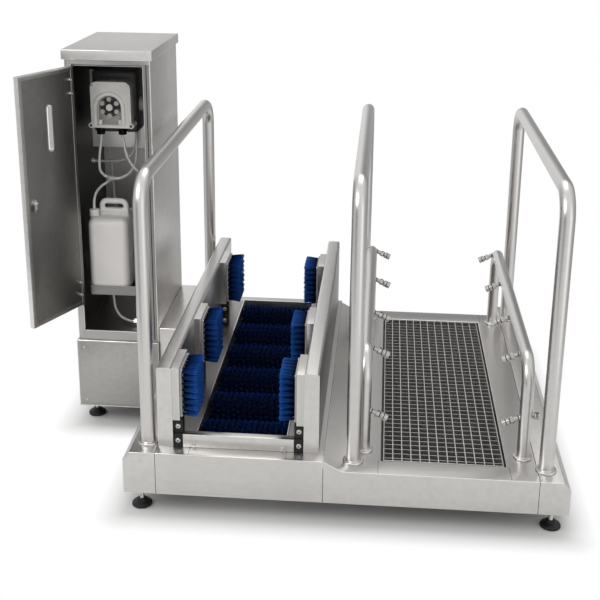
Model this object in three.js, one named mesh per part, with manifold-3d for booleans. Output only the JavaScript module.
// Walk-through boot washer: a brush lane and a spray lane side by side on one low stainless base,
// with a detergent cabinet at the left. Millimetres, +X to the right, +Y the way people walk, +Z up.
import * as THREE from "three";
import { mergeVertices } from "three/addons/utils/BufferGeometryUtils.js";
import Module from "manifold-3d";

const wasm = await Module();
wasm.setup();

// Gaps and cutters
const clearance = 0.3; // between pieces that touch
const runningClearance = 0.2; // round a shaft or a pin at its tightest
const overrun = 6; // how far a cutter runs past the face that it opens
const weld = 0.001; // points closer than this are one point

// Base
const sheet = 3;
const underside = 80; // floor to the lower edge of the skirts
const brushDeck = 230; // floor to the deck of the brush lane
const sprayDeck = 197; // floor to the deck of the spray lane
const channelLength = 1482;
const brushBaseLength = 1400;
const sprayBaseLength = 1378;
const leftChannelWidth = 108;
const brushBaseWidth = 550;
const sprayBaseWidth = 692;
const rightChannelWidth = 100;
const slopeRun = 62; // width of the slope between the two decks
const edgeChamferRun = 23;
const edgeChamferDrop = 29;
const drainRadius = 25;

// Levelling feet
const footPadRadius = 34;
const footPadHeight = 8;
const footConeRadius = 15;
const footConeHeight = 14;
const footSpindleRadius = 8;
const footNutRadius = 14;
const footNutHeight = 11;
const footNutDrop = 14; // from the foot plate down to the lock nut
const footPlateRise = 8; // from the underside up to the plate that the spindle bears on
const footPlateHalf = 32;
const footSides = 8;
const footInsetX = 46;
const footInsetY = 64;

// Brush lane: tub, walls and cross bar
const laneCentre = 376;
const laneHalf = 215; // lane centre to the inner face of a wall
const wallThickness = 50;
const wallHeight = 283;
const wallFront = 48;
const wallLength = 1337;
const wallCornerRadius = 9;
const wallSheet = 3;
const tubHalf = 154;
const tubFront = 84;
const tubLength = 1266;
const tubFloor = 86;
const tubLip = 6; // the tub's edge stands this far above the deck
const crossbarFront = 50;
const crossbarDepth = 28;
const crossbarHeight = 46;
const screwInset = 38;
const screwRadius = 5;
const screwHeight = 2;

// Side brushes, three at each side
const sideBrushStarts = [50, 466, 1066]; // front of each holder along the lane
const holderLength = 154;
const holderDepth = 24; // how far a holder stands off the wall
const holderBottom = 96; // deck to the lower edge of a holder
const holderHeight = 184;
const sliceThickness = 6; // slice of the brush backing that carries the bristles
const bristleLength = 54;
const brushMargin = 6; // holder edge to the edge of the brush
const strandRows = 11;
const strandColumns = 7;
const strandRootRadius = 4.6;
const strandTipRadius = 7.2;
const strandSides = 3;
const strandSink = 1; // how deep a strand is rooted in its slice
const plainBrushGroove = 9;

// Bearing blocks under the side brushes
const blockWidth = 31;
const blockDepth = 44;
const blockStep = 8; // how far the upper half stands back
const blockBoltRadius = 6;
const blockBoltHeight = 3;

// Sole brush rollers and their drive
const rollerCount = 6;
const rollerFirst = 205; // first roller axis from the front
const rollerPitch = 209;
const rollerRadius = 75;
const rollerAxisHeight = 175;
const rollerEndGap = 6; // brush end to the tub wall
const rollerRidges = 9;
const rollerGroove = 9;
const rollerSides = 10;
const shaftRadius = 12;
const shaftSides = 12;
const shaftEnd = 10; // shaft past the right tub wall
const sprocketRadius = 30;
const sprocketThickness = 8;
const sprocketOffset = 16; // tub wall to the sprocket
const shaftPast = 8; // shaft past the sprocket
const drivenRoller = 4; // counted from the front
const chainThickness = 5;
const motorGearHalf = 52;
const motorGearLength = 100;
const motorRadius = 46;
const motorLength = 130;
const motorWallGap = 24; // plinth wall to the gearbox
const motorBore = 28; // how deep the driven shaft sits in the gearbox
const motorPlateThickness = 6;
const motorPlateMargin = 14;

// Spray lane: grating, basin, rails and nozzles
const sprayCentre = 1048;
const gratingPitch = 30;
const gratingColumns = 13;
const gratingRows = 40;
const gratingBar = 3;
const gratingDepth = 30;
const gratingBarRise = 2; // bearing bars above the lower edge of the frame
const gratingRodDepth = 7;
const gratingStripInset = 1; // end strips are this much shallower than the rods, above and below
const gratingSideGap = 8; // grating to the basin's side walls
const gratingEndGap = 1.5;
const gratingFront = 85;
const basinFloor = 110;
const ledgeWidth = 16;
const sprayRailHalf = 263; // spray lane centre to a rail
const sprayRailFront = 150;
const sprayRailRear = 1288;
const sprayRailHeight = 532; // floor to the centre of the top tube
const sprayRailRadius = 21.2;
const sprayRailBend = 80;
const nozzlePlaces = [252, 565, 905, 1244]; // along the top tube
const postNozzleHeight = 352;
const nozzleTiltDegrees = 24;
const nozzleStubRadius = 8;
const nozzleStubLength = 20;
const nozzleHexRadius = 11.5;
const nozzleHexLength = 12;
const nozzleNeckRadius = 9;
const nozzleNeckLength = 6;
const nozzleTipRadius = 12.5;
const nozzleTipLength = 24;
const nozzleSides = 6;
const plugRadius = 12;
const plugLength = 22;
const rearPlugHeight = 402; // the left rail has its plug on the rear post

// Handrails
const handrailRadius = 24.15;
const handrailInset = 73; // outer face of the base to a side rail
const middleRailInset = 95; // joint of the two bases to the middle rail
const handrailFront = 74;
const handrailRear = 1347;
const handrailHeight = 1128;
const handrailBend = 90;
const collarOverTube = 10;
const collarHeight = 8;
const tubeSides = 10;
const bendSteps = 4;

// Plinth and drive housing
const plinthOverhang = 8; // plinth past the cabinet at the front, left and rear
const plinthTop = 353;
const plinthFootInsetX = 40;
const plinthFootInsetY = 95;
const coverScrewInset = 28;
const housingTop = 408;
const housingInset = 6;

// Cabinet
const cabinetWidth = 306;
const cabinetDepth = 464;
const cabinetFront = 596;
const cabinetTop = 1447;
const sillHeight = 39;
const leftStile = 26;
const rightStile = 28;
const openingTopRail = 51; // cabinet top to the top of its opening
const lidHeight = 35;
const lidOverhang = 8;

// Door, shown open
const doorOpenDegrees = 114;
const doorThickness = 18;
const doorBottomRise = 148.7; // cabinet bottom to the door's lower edge
const doorTopGap = 3; // door top below the top of the cabinet opening
const doorHeel = 9; // door edge past the hinge axis
const doorWidth = 275;
const hingeInset = 22; // cabinet side to the hinge axis
const hingeStandOff = 13.3; // cabinet front to the hinge axis
const hingePinRadius = 4;
const hingePinLength = 12;
const hingeLugHalf = 8;
const hingeLugHeight = 8;
const windowPlace = 124; // hinge axis to the middle of the window slot
const windowDrop = 114; // door top to the top of the window slot
const windowHeight = 165;
const windowWidth = 25;
const latchPlace = 228;
const latchHeight = 955;
const latchSpindleRadius = 7;
const latchKnobRadius = 14;
const latchKnobLength = 15;
const latchNutRadius = 11;
const latchNutLength = 13;
const camLength = 34;
const camWidth = 12;
const camThickness = 4;

// Dosing pump
const pumpPlateWidth = 205;
const pumpPlateDrop = 82; // underside of the pump body to that of its plate
const pumpPlateHeight = 300;
const pumpPlateFront = 900;
const pumpBodyLeft = -268;
const pumpBodyWidth = 170;
const pumpTopGap = 51; // pump body below the top of the cabinet opening
const pumpBodyHeight = 233;
const pumpBodyDepth = 100;
const pumpKnobRadius = 27;
const pumpKnobLength = 22;
const pumpHeadLeft = -262;
const pumpHeadWidth = 150;
const pumpHeadRise = 26; // underside of the pump body to that of its head
const pumpHeadHeight = 173;
const pumpHeadDepth = 50;
const pumpHeadCorner = 26;
const pumpBossRadius = 10;
const pumpBossStand = 5;
const hoseNutRadius = 15;
const hoseNutLength = 28;
const hoseNutSpread = 41; // rotor axis to the axis of a hose nut
const hoseNutBack = 22; // pump body to the axis of a hose nut
const rotorInset = 68; // left side of the pump head to the rotor axis
const rotorRise = 76; // underside of the pump head to the rotor axis
const rotorRecessRadius = 46;
const rotorRecessDepth = 30;
const rotorRecessSill = 12; // underside of the pump head to the foot of the recess
const rotorPinRadius = 6;
const rotorHubRadius = 15;
const rotorWebRadius = 26;
const rotorWebThickness = 8;
const rotorRollers = 6;
const rotorRollerRadius = 9;
const rotorRollerOrbit = 31;
const rotorLength = 25;

// Detergent can, drip tray and drain
const trayLeft = -272;
const trayWidth = 192;
const trayFront = 634;
const trayDepth = 214;
const trayBottom = 522;
const trayHeight = 37;
const traySheet = 3;
const armWidth = 12;
const armHeight = 20;
const armInset = 10;
const armSetBack = 70; // tray front to the free ends of its arms
const canWidth = 150;
const canDepth = 190;
const canHeight = 292;
const canCorner = 24;
const canShoulder = 16;
const canGap = 1; // can to the tray's left and front walls
const canHandleLength = 114;
const canHandleHeight = 62;
const canHandleThickness = 30;
const canHandleInset = 42; // left side of the can to the handle
const canGripInset = 24;
const canGripHeight = 16;
const canGripTop = 22;
const canNeckRadius = 14;
const canNeckHeight = 20;
const canNeckInset = 19;
const capRadius = 18;
const capHeight = 26;
const spigotRadius = 8;
const spigotLength = 22;
const spigotInsetX = 67;
const spigotInsetY = 106;
const drainFittingLength = 26;
const drainFittingRadius = 13;
const drainPipeRadius = 9;
const drainHeight = 374;
const drainFittingLeft = -131;

// Hoses
const hoseRadius = 5;
const hoseSides = 8;
const hoseStep = 24; // length of tube between two rings
const wallFittingRadius = 9;
const wallFittingLength = 11;
const hoseStub = 8; // straight run of a hose where it leaves a fitting
const teeRadius = 8;
const teeLeg = 18; // middle of the tee to the end of a leg
const teeUpDegrees = 20; // upper left leg above level
const teeDownDegrees = 42; // lower left leg below level

// Routes of the hoses, between the straight stubs at their fittings
const teeMiddle = [-199, 761, 943];
const bodyPorts = [[-117, 842], [-123, 873]]; // pump body underside, return and supply
const suctionRoute = [[-236, 746, 914], [-248, 718, 897], [-251, 698, 874]];
const headToTeeRoute = [[-238, 778, 1074], [-243, 775, 1038], [-245, 770, 1000], [-241, 765, 970]];
const teeToBodyRoute = [
  [-154, 774, 947], [-136, 794, 958], [-122, 815, 982], [-117, 832, 1022], [-117, 841, 1068],
];
const deliveryRoute = [
  [-149, 778, 1074], [-144, 776, 1045], [-133, 776, 1012], [-112, 779, 980], [-84, 784, 955],
  [-52, 788, 941],
];
const deliveryPort = [788, 938];
const supplyRoute = [
  [-255, 880, 978], [-226, 878, 979], [-190, 875, 984], [-156, 872, 1000], [-133, 872, 1031],
  [-125, 873, 1070],
];
const supplyPort = [880, 978];
const drainRoute = [[-203, 740, 462], [-198, 740, 425], [-178, 740, 391]];

// Places that follow from the sizes above
const brushBaseLeft = leftChannelWidth;
const sprayBaseLeft = brushBaseLeft + brushBaseWidth;
const rightChannelLeft = sprayBaseLeft + sprayBaseWidth;
const baseWidth = rightChannelLeft + rightChannelWidth;
const tubLeft = laneCentre - tubHalf;
const tubRight = laneCentre + tubHalf;
const leftWallLeft = laneCentre - laneHalf - wallThickness;
const holderFaceOffset = laneHalf - holderDepth;
const drivenRollerY = rollerFirst + (drivenRoller - 1) * rollerPitch;
const cabinetLeft = -cabinetWidth;
const cabinetRear = cabinetFront + cabinetDepth;
const cabinetBottom = plinthTop + clearance;
const sillTop = plinthTop + sillHeight;
const plinthLeft = cabinetLeft - plinthOverhang;
const plinthFront = cabinetFront - plinthOverhang;
const plinthRear = cabinetRear + plinthOverhang;
const openingTop = cabinetTop - openingTopRail;
const doorTop = openingTop - doorTopGap;
const doorBottom = cabinetBottom + doorBottomRise;
const windowBottom = doorTop - windowDrop - windowHeight;
const hingeX = cabinetLeft + hingeInset;
const hingeY = cabinetFront - hingeStandOff;
const pumpBodyBottom = openingTop - pumpTopGap - pumpBodyHeight;
const pumpPlateBottom = pumpBodyBottom - pumpPlateDrop;
const pumpHeadBottom = pumpBodyBottom + pumpHeadRise;
const rotorHeight = pumpHeadBottom + rotorRise;
const pumpBodyFront = pumpPlateFront - clearance - pumpBodyDepth;
const pumpHeadFront = pumpBodyFront - clearance - pumpHeadDepth;
const rotorX = pumpHeadLeft + rotorInset;
const gratingWidth = gratingColumns * gratingPitch + gratingBar;
const gratingLength = gratingRows * gratingPitch + gratingBar;
const gratingLeft = sprayCentre - gratingWidth / 2;
const gratingBottom = sprayDeck - gratingDepth;
const canLeft = trayLeft + traySheet + canGap;
const canFront = trayFront + traySheet + canGap;
const canBottom = trayBottom + clearance + traySheet + clearance;
const canTop = canBottom + canHeight;

// Finishes
const finish = (color, roughness, metalness) =>
  new THREE.MeshStandardMaterial({ color, roughness, metalness });
const stainless = finish(0xc4bfb8, 0.38, 0.9);
const darkSteel = finish(0x6f6c68, 0.5, 0.7);
const bristleBlue = finish(0x1b4f96, 0.75, 0);
const blackPlastic = finish(0x17181a, 0.5, 0);
const ivoryPlastic = finish(0xdcd8cd, 0.35, 0);
const greyPlastic = finish(0x5d5e5c, 0.55, 0);
const canPlastic = finish(0xddd8d0, 0.5, 0);
const hoseRubber = finish(0xb9b6b0, 0.4, 0);

// A closed geometry as a solid, turned so that its faces point out.
function toSolid(geometry) {
  geometry.deleteAttribute("normal");
  geometry.deleteAttribute("uv");
  const merged = mergeVertices(geometry, weld);
  const vertProperties = merged.attributes.position.array;
  const triVerts = new Uint32Array(merged.index.array);
  const made = new wasm.Manifold(new wasm.Mesh({ numProp: 3, vertProperties, triVerts }));
  if (made.volume() > 0) return made;
  const turned = triVerts.slice().reverse();
  return new wasm.Manifold(new wasm.Mesh({ numProp: 3, vertProperties, triVerts: turned }));
}

function toGeometry(solid) {
  const mesh = solid.getMesh();
  const points = new Float32Array(mesh.numVert * 3);
  for (let i = 0; i < mesh.numVert; i++) {
    points.set(mesh.vertProperties.subarray(i * mesh.numProp, i * mesh.numProp + 3), i * 3);
  }
  const geometry = new THREE.BufferGeometry();
  geometry.setAttribute("position", new THREE.BufferAttribute(points, 3));
  geometry.setIndex(new THREE.BufferAttribute(new Uint32Array(mesh.triVerts), 1));
  const flat = geometry.toNonIndexed();
  flat.computeVertexNormals();
  return flat;
}

const join = (first, ...others) => others.reduce((sum, next) => sum.add(next), first);
const cut = (body, ...cutters) => cutters.reduce((rest, next) => rest.subtract(next), body);

function box([x0, x1], [y0, y1], [z0, z1]) {
  const geometry = new THREE.BoxGeometry(Math.abs(x1 - x0), Math.abs(y1 - y0), Math.abs(z1 - z0));
  return toSolid(geometry.translate((x0 + x1) / 2, (y0 + y1) / 2, (z0 + z1) / 2));
}

// An outline of [x, y] pairs, or of a THREE.Shape, raised by depth along its own third axis.
function extrude(outline, depth) {
  const shape = Array.isArray(outline)
    ? new THREE.Shape(outline.map(([x, y]) => new THREE.Vector2(x, y)))
    : outline;
  return new THREE.ExtrudeGeometry(shape, { depth, bevelEnabled: false, curveSegments: bendSteps });
}

// Outlines in X and Z, run along Y.
function prismY(outline, y0, y1) {
  const axes = new THREE.Matrix4().makeBasis(
    new THREE.Vector3(1, 0, 0), new THREE.Vector3(0, 0, 1), new THREE.Vector3(0, -1, 0));
  return toSolid(extrude(outline, y1 - y0).applyMatrix4(axes).translate(0, y1, 0));
}

// Outlines in Y and Z, run along X.
function prismX(outline, x0, x1) {
  const axes = new THREE.Matrix4().makeBasis(
    new THREE.Vector3(0, 1, 0), new THREE.Vector3(0, 0, 1), new THREE.Vector3(1, 0, 0));
  const low = Math.min(x0, x1);
  return toSolid(extrude(outline, Math.abs(x1 - x0)).applyMatrix4(axes).translate(low, 0, 0));
}

// A straight round bar between two points, or a tapered one.
function rod(from, to, radius, sides = tubeSides, endRadius = radius) {
  const start = new THREE.Vector3(...from);
  const way = new THREE.Vector3(...to).sub(start);
  const geometry = new THREE.CylinderGeometry(endRadius, radius, way.length(), sides);
  const turn = new THREE.Quaternion();
  turn.setFromUnitVectors(new THREE.Vector3(0, 1, 0), way.clone().normalize());
  geometry.applyQuaternion(turn);
  return toSolid(geometry.translate(...start.addScaledVector(way, 1 / 2).toArray()));
}

// A turned piece: [radius, height] pairs round the Z axis, starting and ending on it.
function turned(profile, sides) {
  const points = profile.map(([radius, height]) => new THREE.Vector2(radius, height));
  return new THREE.LatheGeometry(points, sides).rotateX(Math.PI / 2);
}

// Radius of a hole in which a round bar with so many sides turns freely.
const bored = (radius, sides) => (radius + runningClearance) / Math.cos(Math.PI / sides);

function circle(radius, sides) {
  const points = [];
  for (let i = 0; i < sides; i++) {
    const angle = (2 * Math.PI * i) / sides;
    points.push(new THREE.Vector2(radius * Math.cos(angle), radius * Math.sin(angle)));
  }
  return new THREE.Shape(points);
}

// A path with one ring at each given point, so that straight runs cost no rings.
class RingPath extends THREE.Curve {
  constructor(points, tangents) {
    super();
    this.points = points;
    this.tangents = tangents;
  }
  getPointAt(share) {
    return this.points[Math.round(share * (this.points.length - 1))].clone();
  }
  getTangentAt(share) {
    return this.tangents[Math.round(share * (this.points.length - 1))].clone();
  }
}

// Hoop rail: two upright posts and a top tube with a bend at each corner, in the plane of X.
function hoop(x, front, rear, foot, top, bend, radius) {
  const points = [new THREE.Vector3(x, front, foot)];
  const tangents = [new THREE.Vector3(0, 0, 1)];
  const corners = [[front + bend, Math.PI], [rear - bend, Math.PI / 2]];
  for (const [centre, start] of corners) {
    for (let i = 0; i <= bendSteps; i++) {
      const angle = start - (i / bendSteps) * (Math.PI / 2);
      const away = new THREE.Vector3(0, Math.cos(angle), Math.sin(angle));
      points.push(new THREE.Vector3(x, centre, top - bend).addScaledVector(away, bend));
      tangents.push(new THREE.Vector3(0, Math.sin(angle), -Math.cos(angle)));
    }
  }
  points.push(new THREE.Vector3(x, rear, foot));
  tangents.push(new THREE.Vector3(0, 0, -1));
  const extrudePath = new RingPath(points, tangents);
  const options = { steps: points.length - 1, bevelEnabled: false, extrudePath };
  const tube = toSolid(new THREE.ExtrudeGeometry(circle(radius, tubeSides), options));
  const collars = [front, rear].map((y) =>
    rod([x, y, foot], [x, y, foot + collarHeight], radius + collarOverTube));
  return join(tube, ...collars);
}

// A hose between two fittings: each end is a point and the way that it points out of its fitting.
function hose([from, leaving], route, [to, facing]) {
  const away = (point, way, distance) => point.map((value, i) => value + way[i] * distance);
  const points = [
    away(from, leaving, clearance), away(from, leaving, hoseStub), ...route,
    away(to, facing, hoseStub), away(to, facing, clearance),
  ].map((point) => new THREE.Vector3(...point));
  const curve = new THREE.CatmullRomCurve3(points, false, "centripetal");
  const steps = Math.max(points.length, Math.round(curve.getLength() / hoseStep));
  const options = { steps, bevelEnabled: false, extrudePath: curve };
  return toSolid(new THREE.ExtrudeGeometry(circle(hoseRadius, hoseSides), options));
}

// Base: side channels and the two lane frames

const footPlateBottom = underside + footPlateRise;

function footPlate([x0, x1], y) {
  return box([x0 + sheet / 2, x1 - sheet / 2], [y - footPlateHalf, y + footPlateHalf],
    [footPlateBottom, footPlateBottom + sheet]);
}

function sideChannel(outerX, innerX, top) {
  const inward = Math.sign(innerX - outerX);
  const outline = [
    [outerX, underside], [outerX, top - edgeChamferDrop], [outerX + inward * edgeChamferRun, top],
    [innerX, top], [innerX, underside],
  ];
  const low = underside - overrun;
  const hollow = [
    [outerX + inward * sheet, low], [outerX + inward * sheet, top - edgeChamferDrop],
    [outerX + inward * edgeChamferRun, top - sheet], [innerX - inward * sheet, top - sheet],
    [innerX - inward * sheet, low],
  ];
  const shell = cut(prismY(outline, 0, channelLength),
    prismY(hollow, sheet, channelLength - sheet));
  const across = [Math.min(outerX, innerX), Math.max(outerX, innerX)];
  return join(shell, footPlate(across, footInsetY), footPlate(across, channelLength - footInsetY));
}

function driveShaftPass(x0, x1) {
  return rod([x0, drivenRollerY, rollerAxisHeight], [x1, drivenRollerY, rollerAxisHeight],
    bored(shaftRadius, shaftSides), shaftSides);
}

function leftSideChannel() {
  return cut(sideChannel(0, leftChannelWidth, brushDeck),
    driveShaftPass(-overrun, leftChannelWidth + overrun));
}

function brushBase() {
  const left = brushBaseLeft + clearance;
  const tubRear = tubFront + tubLength;
  const frame = cut(
    box([left, sprayBaseLeft], [0, brushBaseLength], [underside, brushDeck]),
    box([left + sheet, sprayBaseLeft - sheet], [sheet, brushBaseLength - sheet],
      [underside - overrun, brushDeck - sheet]));
  const tub = box([tubLeft, tubRight], [tubFront, tubRear], [tubFloor, brushDeck + tubLip]);
  const hollow = box([tubLeft + sheet, tubRight - sheet], [tubFront + sheet, tubRear - sheet],
    [tubFloor + sheet, brushDeck + tubLip + overrun]);
  const bores = [];
  for (let i = 0; i < rollerCount; i++) {
    const y = rollerFirst + i * rollerPitch;
    bores.push(rod([tubLeft - overrun, y, rollerAxisHeight], [tubRight + overrun, y, rollerAxisHeight],
      bored(shaftRadius, shaftSides), shaftSides));
  }
  const drain = rod([laneCentre, tubRear - rollerPitch / 2, tubFloor - overrun],
    [laneCentre, tubRear - rollerPitch / 2, tubFloor + sheet + overrun], drainRadius);
  const body = cut(join(frame, tub), hollow, drain, ...bores);
  return cut(body, driveShaftPass(left - overrun, left + sheet + overrun));
}

function sprayBase() {
  const left = sprayBaseLeft + clearance;
  const low = underside - overrun;
  const outline = [
    [left, underside], [left, brushDeck], [left + slopeRun, sprayDeck],
    [rightChannelLeft, sprayDeck], [rightChannelLeft, underside],
  ];
  const hollow = [
    [left + sheet, low], [left + sheet, brushDeck - 2 * sheet], [left + slopeRun, sprayDeck - sheet],
    [rightChannelLeft - sheet, sprayDeck - sheet], [rightChannelLeft - sheet, low],
  ];
  const frame = cut(prismY(outline, 0, sprayBaseLength),
    prismY(hollow, sheet, sprayBaseLength - sheet));
  const wellSides = [gratingLeft - gratingSideGap, gratingLeft + gratingWidth + gratingSideGap];
  const wellEnds = [gratingFront - gratingEndGap, gratingFront + gratingLength + gratingEndGap];
  const basin = box([wellSides[0] - sheet, wellSides[1] + sheet],
    [wellEnds[0] - sheet, wellEnds[1] + sheet], [basinFloor, sprayDeck]);
  const well = box(wellSides, wellEnds, [basinFloor + sheet, sprayDeck + overrun]);
  const ledgeHeights = [gratingBottom - clearance - sheet, gratingBottom - clearance];
  const ledges = [
    box([wellSides[0] - sheet / 2, wellSides[0] + ledgeWidth], wellEnds, ledgeHeights),
    box([wellSides[1] - ledgeWidth, wellSides[1] + sheet / 2], wellEnds, ledgeHeights),
  ];
  const drainY = wellEnds[0] + gratingLength / 2;
  const drain = rod([sprayCentre, drainY, basinFloor - overrun],
    [sprayCentre, drainY, basinFloor + sheet + overrun], drainRadius);
  return join(cut(join(frame, basin), well, drain), ...ledges);
}

function rightSideChannel() {
  return sideChannel(baseWidth, rightChannelLeft + clearance, sprayDeck);
}

function levellingFoot() {
  const top = footPlateBottom - clearance;
  const coneTop = footPadHeight + footConeHeight;
  const nutTop = footPlateBottom - footNutDrop;
  return toSolid(turned([
    [0, 0], [footPadRadius, 0], [footPadRadius, footPadHeight], [footConeRadius, coneTop],
    [footSpindleRadius, coneTop], [footSpindleRadius, nutTop - footNutHeight],
    [footNutRadius, nutTop - footNutHeight], [footNutRadius, nutTop],
    [footSpindleRadius, nutTop], [footSpindleRadius, top], [0, top],
  ], footSides));
}

// Brush lane

const laneX = (side, offset) => laneCentre + side * offset;
const wallBottom = brushDeck + clearance;

function laneWall(side) {
  const [inner, outer] = [laneX(side, laneHalf), laneX(side, laneHalf + wallThickness)];
  const top = wallBottom + wallHeight;
  const corner = wallCornerRadius;
  const rounded = (x, away) => {
    const points = [];
    for (let i = 0; i <= bendSteps; i++) {
      const angle = (i / bendSteps) * (Math.PI / 2);
      points.push([x + away * corner * (1 - Math.cos(angle)), top - corner * (1 - Math.sin(angle))]);
    }
    return points;
  };
  const outline = [
    [inner, wallBottom], ...rounded(inner, side), ...rounded(outer, -side).reverse(),
    [outer, wallBottom],
  ];
  const wallRear = wallFront + wallLength;
  const shell = cut(prismY(outline, wallFront, wallRear),
    box([inner + side * wallSheet, outer - side * wallSheet],
      [wallFront + wallSheet, wallRear - wallSheet], [wallBottom - overrun, top - corner]));
  const holders = sideBrushStarts.map((y) =>
    box([inner + side * (wallSheet / 2), laneX(side, holderFaceOffset)], [y, y + holderLength],
      [wallBottom + holderBottom, wallBottom + holderBottom + holderHeight]));
  return join(shell, ...holders);
}

function sideBrushPlace(side, index) {
  return [laneX(side, holderFaceOffset - clearance), sideBrushStarts[index] + brushMargin,
    wallBottom + holderBottom + brushMargin];
}

const brushLength = holderLength - 2 * brushMargin;
const brushHeight = holderHeight - 2 * brushMargin;

// Strands stand on a slice of the backing, wider at their tips, in a square pattern.
function strandBrush(side) {
  let brush = box([0, -side * sliceThickness], [0, brushLength], [0, brushHeight]);
  const root = -side * (sliceThickness - strandSink);
  const tip = -side * (sliceThickness + bristleLength);
  for (let row = 0; row < strandRows; row++) {
    for (let column = 0; column < strandColumns; column++) {
      const y = ((column + 1 / 2) / strandColumns) * brushLength;
      const z = ((row + 1 / 2) / strandRows) * brushHeight;
      brush = brush.add(rod([root, y, z], [tip, y, z], strandRootRadius, strandSides, strandTipRadius));
    }
  }
  return brush;
}

// The far brushes keep only the ridges that their rows of tufts make.
function ridgedBrush(side) {
  const tip = -side * (sliceThickness + bristleLength);
  const valley = tip + side * plainBrushGroove;
  const outline = [[0, 0], [0, brushHeight]];
  for (let row = strandRows; row > 0; row--) {
    outline.push([valley, (row / strandRows) * brushHeight]);
    outline.push([tip, ((row - 1 / 2) / strandRows) * brushHeight]);
  }
  outline.push([valley, 0]);
  return prismY(outline, 0, brushLength);
}

function bearingBlock(side) {
  const lower = crossbarHeight;
  const upper = holderBottom - clearance;
  const outline = [
    [0, 0], [blockDepth, 0], [blockDepth, upper], [blockStep, upper], [blockStep, lower], [0, lower],
  ];
  const middle = (-side * blockWidth) / 2;
  const lowBolt = rod([middle, overrun, lower / 2], [middle, -blockBoltHeight, lower / 2],
    blockBoltRadius, nozzleSides);
  const highMiddle = (lower + upper) / 2;
  const highBolt = rod([middle, blockStep + overrun, highMiddle],
    [middle, blockStep - blockBoltHeight, highMiddle], blockBoltRadius, nozzleSides);
  return join(prismX(outline, 0, -side * blockWidth), lowBolt, highBolt);
}

function frontCrossbar() {
  const half = laneHalf - blockWidth - 2 * clearance;
  const [bottom, top] = [wallBottom, wallBottom + crossbarHeight];
  const bar = box([laneCentre - half, laneCentre + half],
    [crossbarFront, crossbarFront + crossbarDepth], [bottom, top]);
  const screws = [-1, 1].map((side) => {
    const x = laneX(side, half - screwInset);
    const z = bottom + crossbarHeight / 4;
    return rod([x, crossbarFront + overrun, z], [x, crossbarFront - screwHeight, z],
      screwRadius, shaftSides);
  });
  return join(bar, ...screws);
}

// Roller round the X axis: ridged brush, shaft and sprocket. The driven one reaches the motor.
function brushRoller(isDriven) {
  const left = tubLeft + sheet + rollerEndGap;
  const right = tubRight - sheet - rollerEndGap;
  const valley = rollerRadius - rollerGroove;
  const profile = [[0, left], [valley, left]];
  for (let i = 0; i < rollerRidges; i++) {
    profile.push([rollerRadius, left + ((i + 1 / 2) / rollerRidges) * (right - left)]);
    profile.push([valley, left + ((i + 1) / rollerRidges) * (right - left)]);
  }
  profile.push([0, right]);
  const brush = toSolid(turned(profile, rollerSides).rotateY(Math.PI / 2));
  const sprocketRight = tubLeft - sprocketOffset;
  const sprocketLeft = sprocketRight - sprocketThickness;
  const shaftLeft = isDriven ? -motorWallGap - motorBore : sprocketLeft - shaftPast;
  const shaft = rod([shaftLeft, 0, 0], [tubRight + shaftEnd, 0, 0], shaftRadius, shaftSides);
  const sprocket = rod([sprocketLeft, 0, 0], [sprocketRight, 0, 0], sprocketRadius);
  return join(brush, shaft, sprocket);
}

// Chain round the sprockets, as one closed band.
function driveChain() {
  const inside = bored(sprocketRadius, 4 * bendSteps);
  const rollerLast = rollerFirst + (rollerCount - 1) * rollerPitch;
  const loop = (radius) => {
    const points = [];
    for (const [centre, start] of [[rollerLast, -Math.PI / 2], [rollerFirst, Math.PI / 2]]) {
      for (let i = 0; i <= 2 * bendSteps; i++) {
        const angle = start + (i / (2 * bendSteps)) * Math.PI;
        points.push([centre + radius * Math.cos(angle), rollerAxisHeight + radius * Math.sin(angle)]);
      }
    }
    return points;
  };
  const right = tubLeft - sprocketOffset;
  const left = right - sprocketThickness;
  return cut(prismX(loop(inside + chainThickness), left, right),
    prismX(loop(inside), left - overrun, right + overrun));
}

function driveMotor() {
  const right = -motorWallGap;
  const left = right - motorGearLength;
  const [y, z] = [drivenRollerY, rollerAxisHeight];
  const gearbox = box([left, right], [y - motorGearHalf, y + motorGearHalf],
    [z - motorGearHalf, z + motorGearHalf]);
  const motor = rod([left + overrun, y, z], [left - motorLength, y, z], motorRadius);
  const bore = rod([right + overrun, y, z], [right - motorBore - clearance, y, z],
    bored(shaftRadius, shaftSides), shaftSides);
  return cut(join(gearbox, motor), bore);
}

// Spray lane

function gratingFrame() {
  const [x0, x1] = [gratingLeft, gratingLeft + gratingWidth];
  const [y0, y1] = [gratingFront, gratingFront + gratingLength];
  let frame = cut(box([x0, x1], [y0, y1], [gratingBottom, sprayDeck]),
    box([x0 + gratingBar, x1 - gratingBar], [y0 + gratingBar, y1 - gratingBar],
      [gratingBottom - overrun, sprayDeck + overrun]));
  const barTop = sprayDeck - gratingRodDepth - clearance;
  for (let i = 1; i < gratingRows; i++) {
    const y = y0 + i * gratingPitch;
    frame = frame.add(box([x0 + gratingBar / 2, x1 - gratingBar / 2], [y, y + gratingBar],
      [gratingBottom + gratingBarRise, barTop]));
  }
  return frame;
}

function gratingRods() {
  const inset = gratingBar + clearance;
  const [x0, x1] = [gratingLeft + inset, gratingLeft + gratingWidth - inset];
  const [y0, y1] = [gratingFront + inset, gratingFront + gratingLength - inset];
  const heights = [sprayDeck - gratingRodDepth, sprayDeck];
  const stripHeights = [heights[0] + gratingStripInset, heights[1] - gratingStripInset];
  let rods = box([x0, x1], [y0, y0 + gratingBar], stripHeights);
  for (let i = 1; i < gratingColumns; i++) {
    const x = gratingLeft + i * gratingPitch;
    rods = rods.add(box([x, x + gratingBar], [y0 + gratingBar / 2, y1 - gratingBar / 2], heights));
  }
  return rods.add(box([x0, x1], [y1 - gratingBar, y1], stripHeights));
}

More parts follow.
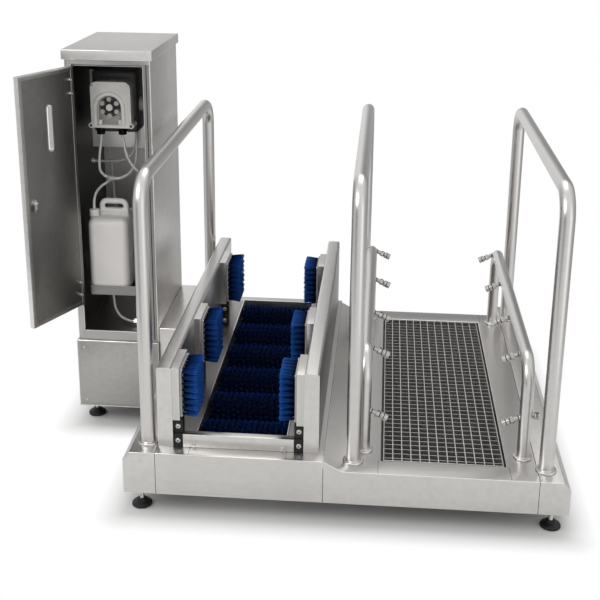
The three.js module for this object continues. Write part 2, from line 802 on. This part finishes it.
function nozzle(root, direction, tubeRadius) {
  const along = (distance) => root.map((value, i) => value + direction[i] * distance);
  const stubEnd = tubeRadius + nozzleStubLength;
  const hexEnd = stubEnd + nozzleHexLength;
  const neckEnd = hexEnd + nozzleNeckLength;
  return join(
    rod(along(tubeRadius / 2), along(stubEnd), nozzleStubRadius, nozzleSides),
    rod(along(stubEnd), along(hexEnd), nozzleHexRadius, nozzleSides),
    rod(along(hexEnd), along(neckEnd), nozzleNeckRadius, nozzleSides),
    rod(along(neckEnd), along(neckEnd + nozzleTipLength), nozzleTipRadius, nozzleSides));
}

function sprayRail(side) {
  const x = sprayCentre + side * sprayRailHalf;
  const foot = sprayDeck + clearance;
  const tilt = THREE.MathUtils.degToRad(nozzleTiltDegrees);
  const inward = [-side * Math.cos(tilt), 0, -Math.sin(tilt)];
  const rail = hoop(x, sprayRailFront, sprayRailRear, foot, sprayRailHeight, sprayRailBend,
    sprayRailRadius);
  const topNozzles = nozzlePlaces.map((y) => nozzle([x, y, sprayRailHeight], inward, sprayRailRadius));
  const postNozzle = nozzle([x, sprayRailFront, postNozzleHeight], inward, sprayRailRadius);
  const plugPost = side > 0 ? [sprayRailFront, postNozzleHeight] : [sprayRailRear, rearPlugHeight];
  const plug = rod([x, ...plugPost], [x + side * (sprayRailRadius + plugLength), ...plugPost],
    plugRadius, nozzleSides);
  return join(rail, ...topNozzles, postNozzle, plug);
}

const handrail = (x, deck) => hoop(x, handrailFront, handrailRear, deck + clearance, handrailHeight,
  handrailBend, handrailRadius);

// Plinth, housing and cabinet

const motorPlateTop = rollerAxisHeight - motorGearHalf - clearance;

function plinth() {
  const right = -clearance;
  const shell = cut(
    box([plinthLeft, right], [plinthFront, plinthRear], [underside, plinthTop]),
    box([plinthLeft + sheet, right - sheet], [plinthFront + sheet, plinthRear - sheet],
      [underside - overrun, plinthTop - sheet]),
    driveShaftPass(right - sheet - overrun, right + overrun));
  const plateHalf = motorGearHalf + motorPlateMargin;
  const motorPlate = box([plinthLeft + sheet / 2, right - sheet / 2],
    [drivenRollerY - plateHalf, drivenRollerY + plateHalf],
    [motorPlateTop - motorPlateThickness, motorPlateTop]);
  const footPlates = plinthFootPlaces().map(([x, y]) =>
    box([plinthLeft + sheet / 2, x + footPlateHalf], [y - footPlateHalf, y + footPlateHalf],
      [footPlateBottom, footPlateBottom + sheet]));
  const screws = [plinthTop - coverScrewInset, underside + coverScrewInset].map((z) => {
    const x = plinthLeft + coverScrewInset;
    return rod([x, plinthFront + sheet / 2, z], [x, plinthFront - screwHeight, z], screwRadius,
      shaftSides);
  });
  return join(shell, motorPlate, ...footPlates, ...screws);
}

function plinthFootPlaces() {
  const x = plinthLeft + plinthFootInsetX;
  return [[x, plinthFront + plinthFootInsetY], [x, plinthRear - plinthFootInsetY]];
}

function driveHousing() {
  const [x0, x1] = [clearance, leftWallLeft - clearance];
  const [y0, y1] = [cabinetFront + housingInset, cabinetRear];
  return cut(box([x0, x1], [y0, y1], [wallBottom, housingTop]),
    box([x0 + sheet, x1 - sheet], [y0 + sheet, y1 - sheet],
      [wallBottom - overrun, housingTop - sheet]));
}

function hingeLug(z, pinEnd) {
  const pinRoot = z + (pinEnd > z ? 0 : hingeLugHeight);
  return join(
    box([hingeX - hingeLugHalf, hingeX + hingeLugHalf],
      [hingeY - hingeLugHalf, cabinetFront + sheet / 2], [z, z + hingeLugHeight]),
    rod([hingeX, hingeY, pinRoot], [hingeX, hingeY, pinEnd], hingePinRadius, shaftSides));
}

const leftFittingEnd = cabinetLeft + sheet + wallFittingLength;
const rightFittingEnd = -sheet - wallFittingLength;

function cabinetBody() {
  const inner = [cabinetLeft + sheet, -sheet];
  const shell = cut(
    box([cabinetLeft, 0], [cabinetFront, cabinetRear], [cabinetBottom, cabinetTop - sheet]),
    box(inner, [cabinetFront + sheet, cabinetRear - sheet],
      [cabinetBottom + sheet, cabinetTop - 2 * sheet]),
    box([cabinetLeft + leftStile, -rightStile], [cabinetFront - overrun, cabinetFront + 2 * sheet],
      [sillTop, openingTop]));
  const pumpPlate = box([cabinetLeft + sheet / 2, cabinetLeft + sheet + pumpPlateWidth],
    [pumpPlateFront, pumpPlateFront + sheet], [pumpPlateBottom, pumpPlateBottom + pumpPlateHeight]);
  const arms = [trayLeft + armInset, trayLeft + trayWidth - armInset - armWidth].map((x) =>
    box([x, x + armWidth], [trayFront + armSetBack, cabinetRear - sheet / 2],
      [trayBottom - armHeight, trayBottom]));
  const leftFitting = rod([cabinetLeft + sheet / 2, ...supplyPort], [leftFittingEnd, ...supplyPort],
    wallFittingRadius, nozzleSides);
  const rightFitting = rod([-sheet / 2, ...deliveryPort], [rightFittingEnd, ...deliveryPort],
    wallFittingRadius, nozzleSides);
  const lugs = [
    hingeLug(doorTop + clearance, doorTop - hingePinLength),
    hingeLug(doorBottom - clearance - hingeLugHeight, doorBottom + hingePinLength),
  ];
  return join(shell, pumpPlate, ...arms, leftFitting, rightFitting, ...lugs);
}

function cabinetLid() {
  const outer = lidOverhang;
  return cut(
    box([cabinetLeft - outer, outer], [cabinetFront - outer, cabinetRear + outer],
      [cabinetTop + sheet - lidHeight, cabinetTop + sheet]),
    box([cabinetLeft - outer + sheet, outer - sheet],
      [cabinetFront - outer + sheet, cabinetRear + outer - sheet],
      [cabinetTop + sheet - lidHeight - overrun, cabinetTop - sheet + clearance]));
}

// The door in its own frame: X from the hinge axis to the free edge, Y into the cabinet when shut.
function doorPanel() {
  const half = doorThickness / 2;
  const slab = box([-doorHeel, doorWidth - doorHeel], [-half, half], [doorBottom, doorTop]);
  const window = new THREE.Shape();
  const [low, high, round] = [windowBottom, windowBottom + windowHeight, windowWidth / 2];
  window.moveTo(windowPlace + round, low + round);
  window.lineTo(windowPlace + round, high - round);
  window.absarc(windowPlace, high - round, round, 0, Math.PI);
  window.lineTo(windowPlace - round, low + round);
  window.absarc(windowPlace, low + round, round, Math.PI, 2 * Math.PI);
  const slot = prismY(window, -half - overrun, half + overrun);
  const latchHole = rod([latchPlace, -half - overrun, latchHeight],
    [latchPlace, half + overrun, latchHeight], bored(latchSpindleRadius, tubeSides));
  const pinHoles = [doorTop + overrun, doorBottom - overrun].map((z, i) => {
    const depth = hingePinLength + overrun + clearance;
    return rod([0, 0, z], [0, 0, z + (i ? depth : -depth)], bored(hingePinRadius, shaftSides),
      shaftSides);
  });
  return cut(slab, slot, latchHole, ...pinHoles);
}

function doorLatch() {
  const face = doorThickness / 2 + clearance;
  const knob = rod([0, -face, 0], [0, -face - latchKnobLength, 0], latchKnobRadius);
  const spindle = rod([0, -face - clearance, 0], [0, face + clearance, 0], latchSpindleRadius);
  const nut = rod([0, face, 0], [0, face + latchNutLength, 0], latchNutRadius, nozzleSides);
  const camY = face + latchNutLength - camThickness;
  const cam = box([-camWidth / 2, camWidth / 2], [camY, camY + camThickness],
    [-camLength, camWidth / 2]);
  return join(knob, spindle, nut, cam);
}

// Dosing pump

function pumpBody() {
  const right = pumpBodyLeft + pumpBodyWidth;
  const body = box([pumpBodyLeft, right], [pumpBodyFront, pumpBodyFront + pumpBodyDepth],
    [pumpBodyBottom, pumpBodyBottom + pumpBodyHeight]);
  const y = pumpBodyFront + pumpBodyDepth / 2;
  const knob = rod([right - overrun, y, rotorHeight], [right + pumpKnobLength, y, rotorHeight],
    pumpKnobRadius);
  return join(body, knob);
}

const nutPlace = (side) => rotorX + side * hoseNutSpread;
const nutY = pumpBodyFront - hoseNutBack;
const nutBottom = pumpHeadBottom - hoseNutLength;

function pumpHead() {
  const [x0, x1] = [pumpHeadLeft, pumpHeadLeft + pumpHeadWidth];
  const top = pumpHeadBottom + pumpHeadHeight;
  const outline = new THREE.Shape();
  outline.moveTo(x0, pumpHeadBottom);
  outline.lineTo(x1, pumpHeadBottom);
  outline.lineTo(x1, top - pumpHeadCorner);
  outline.absarc(x1 - pumpHeadCorner, top - pumpHeadCorner, pumpHeadCorner, 0, Math.PI / 2);
  outline.absarc(x0 + pumpHeadCorner, top - pumpHeadCorner, pumpHeadCorner, Math.PI / 2, Math.PI);
  const rear = pumpHeadFront + pumpHeadDepth;
  const block = prismY(outline, pumpHeadFront, rear);
  const bosses = [x0, x1].map((x) =>
    rod([x, pumpHeadFront - pumpBossStand, pumpHeadBottom + pumpBossRadius],
      [x, rear, pumpHeadBottom + pumpBossRadius], pumpBossRadius));
  const recessDepths = [pumpHeadFront - overrun, pumpHeadFront + rotorRecessDepth];
  const arch = rod([rotorX, recessDepths[0], rotorHeight], [rotorX, recessDepths[1], rotorHeight],
    rotorRecessRadius, 2 * tubeSides);
  const legs = box([rotorX - rotorRecessRadius, rotorX + rotorRecessRadius], recessDepths,
    [pumpHeadBottom + rotorRecessSill, rotorHeight]);
  const pin = rod([rotorX, rear - overrun, rotorHeight],
    [rotorX, pumpHeadFront + rotorRecessDepth - rotorLength, rotorHeight], rotorPinRadius, shaftSides);
  const nuts = [-1, 1].map((side) =>
    rod([nutPlace(side), nutY, pumpHeadBottom + overrun], [nutPlace(side), nutY, nutBottom],
      hoseNutRadius));
  return join(cut(join(block, ...bosses), arch, legs), pin, ...nuts);
}

function pumpRotor() {
  const back = pumpHeadFront + rotorRecessDepth - clearance;
  const front = back - rotorLength;
  const along = (radius, from, to, x = 0, z = 0, sides = tubeSides) =>
    rod([x, from, z], [x, to, z], radius, sides);
  const webFront = (front + back - rotorWebThickness) / 2;
  const parts = [along(rotorWebRadius, webFront, webFront + rotorWebThickness)];
  for (let i = 0; i < rotorRollers; i++) {
    const angle = (2 * Math.PI * i) / rotorRollers;
    parts.push(along(rotorRollerRadius, front, back, rotorRollerOrbit * Math.cos(angle),
      rotorRollerOrbit * Math.sin(angle), nozzleSides));
  }
  const hub = along(rotorHubRadius, front, back);
  const bore = along(bored(rotorPinRadius, shaftSides), front - overrun, back + overrun, 0, 0,
    shaftSides);
  return cut(join(hub, ...parts), bore);
}

// Detergent can, drip tray and drain

function roundedRectangle([x0, x1], [y0, y1], radius) {
  const shape = new THREE.Shape();
  shape.moveTo(x0 + radius, y0);
  shape.absarc(x1 - radius, y0 + radius, radius, -Math.PI / 2, 0);
  shape.absarc(x1 - radius, y1 - radius, radius, 0, Math.PI / 2);
  shape.absarc(x0 + radius, y1 - radius, radius, Math.PI / 2, Math.PI);
  shape.absarc(x0 + radius, y0 + radius, radius, Math.PI, 1.5 * Math.PI);
  return shape;
}

function jerrycan() {
  const outline = roundedRectangle([canLeft + canShoulder, canLeft + canWidth - canShoulder],
    [canFront + canShoulder, canFront + canDepth - canShoulder], canCorner - canShoulder / 2);
  const body = new THREE.ExtrudeGeometry(outline, {
    depth: canHeight - 2 * canShoulder, bevelEnabled: true, bevelThickness: canShoulder,
    bevelSize: canShoulder, bevelSegments: 2, curveSegments: 3,
  }).translate(0, 0, canBottom + canShoulder);
  const handleLeft = canLeft + canHandleInset - canGripInset / 2;
  const handleTop = canTop + canHandleHeight;
  const y = canFront + canDepth / 3;
  const handle = cut(
    prismY(roundedRectangle([handleLeft, handleLeft + canHandleLength],
      [canTop - canShoulder, handleTop], canShoulder), y, y + canHandleThickness),
    prismY(roundedRectangle(
      [handleLeft + canGripInset, handleLeft + canHandleLength - canGripInset],
      [handleTop - canGripTop - canGripHeight, handleTop - canGripTop], canGripHeight / 2),
    y - overrun, y + canHandleThickness + overrun));
  return join(toSolid(body), handle, canNeck(canNeckRadius, canTop - canShoulder, canTop + canNeckHeight));
}

const neckY = canFront + canDepth / 4;

function canNeck(radius, low, high) {
  const x = canLeft + canNeckInset;
  return rod([x, neckY, low], [x, neckY, high], radius);
}

function canCap() {
  const low = canTop + clearance;
  return cut(canNeck(capRadius, low, low + capHeight),
    canNeck(canNeckRadius + clearance, low - overrun, canTop + canNeckHeight + clearance));
}

const spigotX = trayLeft + spigotInsetX;
const spigotY = trayFront + spigotInsetY;
const spigotEnd = trayBottom + clearance - spigotLength;

function dripTray() {
  const low = trayBottom + clearance;
  const shape = roundedRectangle([trayLeft, trayLeft + trayWidth],
    [trayFront, trayFront + trayDepth], canCorner / 2);
  const inside = roundedRectangle([trayLeft + traySheet, trayLeft + trayWidth - traySheet],
    [trayFront + traySheet, trayFront + trayDepth - traySheet], canCorner / 2 - traySheet);
  const upright = (outline, height, base) => toSolid(extrude(outline, height).translate(0, 0, base));
  const pan = cut(upright(shape, trayHeight, low), upright(inside, trayHeight, low + traySheet));
  const spigot = rod([spigotX, spigotY, low + traySheet / 2], [spigotX, spigotY, spigotEnd],
    spigotRadius);
  return join(pan, spigot);
}

function drainFitting() {
  const right = drainFittingLeft + drainFittingLength;
  return join(
    rod([drainFittingLeft, spigotY, drainHeight], [right, spigotY, drainHeight], drainFittingRadius,
      nozzleSides),
    rod([right - overrun, spigotY, drainHeight], [-sheet - clearance, spigotY, drainHeight],
      drainPipeRadius));
}

// Hoses and the piece that joins them

const down = [0, 0, -1];
const [teeUp, teeDown] = [teeUpDegrees, teeDownDegrees].map(THREE.MathUtils.degToRad);
const teeWays = {
  upper: [-Math.cos(teeUp), 0, Math.sin(teeUp)],
  lower: [-Math.cos(teeDown), 0, -Math.sin(teeDown)],
  right: [1, 0, 0],
};
const teeEnd = (way) => teeMiddle.map((value, i) => value + way[i] * teeLeg);

function hoseTee() {
  const legs = Object.values(teeWays).map((way) =>
    rod(teeMiddle, teeEnd(way), teeRadius, nozzleSides));
  return join(...legs);
}

const tee = (name) => [teeEnd(teeWays[name]), teeWays[name]];
const nut = (side) => [[nutPlace(side), nutY, nutBottom], down];
const [returnPort, feedPort] = bodyPorts.map((port) => [[...port, pumpBodyBottom], down]);
const capTop = canTop + clearance + capHeight;
const hoses = {
  suction_hose: hose(tee("lower"), suctionRoute,
    [[canLeft + canNeckInset, neckY, capTop], [0, 0, 1]]),
  head_to_tee_hose: hose(nut(-1), headToTeeRoute, tee("upper")),
  tee_to_body_hose: hose(tee("right"), teeToBodyRoute, returnPort),
  delivery_hose: hose(nut(1), deliveryRoute, [[rightFittingEnd, ...deliveryPort], [-1, 0, 0]]),
  supply_hose: hose([[leftFittingEnd, ...supplyPort], [1, 0, 0]], supplyRoute, feedPort),
  drain_hose: hose([[spigotX, spigotY, spigotEnd], down], drainRoute,
    [[drainFittingLeft, spigotY, drainHeight], [-1, 0, 0]]),
};

// Assembly

const machine = new THREE.Group();

function place(name, solid, material, position = [0, 0, 0], parent = machine) {
  const mesh = new THREE.Mesh(toGeometry(solid), material);
  mesh.name = name;
  mesh.position.set(...position);
  parent.add(mesh);
  return mesh;
}

place("left_side_channel", leftSideChannel(), stainless);
place("brush_base", brushBase(), stainless);
place("spray_base", sprayBase(), stainless);
place("right_side_channel", rightSideChannel(), stainless);

const feet = {
  front_left_foot: [footInsetX, footInsetY, 0],
  front_right_foot: [baseWidth - footInsetX, footInsetY, 0],
  rear_left_foot: [footInsetX, channelLength - footInsetY, 0],
  rear_right_foot: [baseWidth - footInsetX, channelLength - footInsetY, 0],
  plinth_front_foot: [...plinthFootPlaces()[0], 0],
  plinth_rear_foot: [...plinthFootPlaces()[1], 0],
};
for (const [name, position] of Object.entries(feet)) {
  place(name, levellingFoot(), blackPlastic, position);
}

for (const [sideName, side] of [["left", -1], ["right", 1]]) {
  place(sideName + "_wall", laneWall(side), stainless);
  sideBrushStarts.forEach((start, index) => {
    const isFar = index === sideBrushStarts.length - 1;
    const number = "_" + (index + 1);
    place(sideName + "_side_brush" + number, isFar ? ridgedBrush(side) : strandBrush(side),
      bristleBlue, sideBrushPlace(side, index));
    place(sideName + "_bearing_block" + number, bearingBlock(side), blackPlastic,
      [laneX(side, laneHalf - clearance), start + clearance, wallBottom]);
  });
}
place("front_crossbar", frontCrossbar(), stainless);

for (let i = 0; i < rollerCount; i++) {
  place("brush_roller_" + (i + 1), brushRoller(i + 1 === drivenRoller), bristleBlue,
    [0, rollerFirst + i * rollerPitch, rollerAxisHeight]);
}
place("drive_chain", driveChain(), darkSteel);
place("drive_motor", driveMotor(), darkSteel);

place("grating_frame", gratingFrame(), stainless);
place("grating_rods", gratingRods(), stainless);
place("left_spray_rail", sprayRail(-1), stainless);
place("right_spray_rail", sprayRail(1), stainless);
place("left_handrail", handrail(handrailInset, brushDeck), stainless);
place("middle_handrail", handrail(sprayBaseLeft + middleRailInset, sprayDeck), stainless);
place("right_handrail", handrail(baseWidth - handrailInset, sprayDeck), stainless);

place("plinth", plinth(), stainless);
place("drive_housing", driveHousing(), stainless);
place("cabinet_body", cabinetBody(), stainless);
place("cabinet_lid", cabinetLid(), stainless);

const doorGroup = new THREE.Group();
doorGroup.position.set(hingeX, hingeY, 0);
doorGroup.rotation.z = -THREE.MathUtils.degToRad(doorOpenDegrees);
machine.add(doorGroup);
place("door", doorPanel(), stainless, [0, 0, 0], doorGroup);
place("door_latch", doorLatch(), darkSteel, [latchPlace, 0, latchHeight], doorGroup);

place("pump_body", pumpBody(), greyPlastic);
place("pump_head", pumpHead(), ivoryPlastic);
place("pump_rotor", pumpRotor(), ivoryPlastic, [rotorX, 0, rotorHeight]);
place("jerrycan", jerrycan(), canPlastic);
place("can_cap", canCap(), canPlastic);
place("drip_tray", dripTray(), stainless);
place("drain_fitting", drainFitting(), stainless);
place("hose_tee", hoseTee(), hoseRubber);
for (const [name, solid] of Object.entries(hoses)) {
  place(name, solid, hoseRubber);
}

// The origin is on the floor, under the middle of the machine's box.
const extent = new THREE.Box3().setFromObject(machine, true);
const middle = extent.getCenter(new THREE.Vector3());
machine.position.set(-middle.x, -middle.y, -extent.min.z);

export default machine;
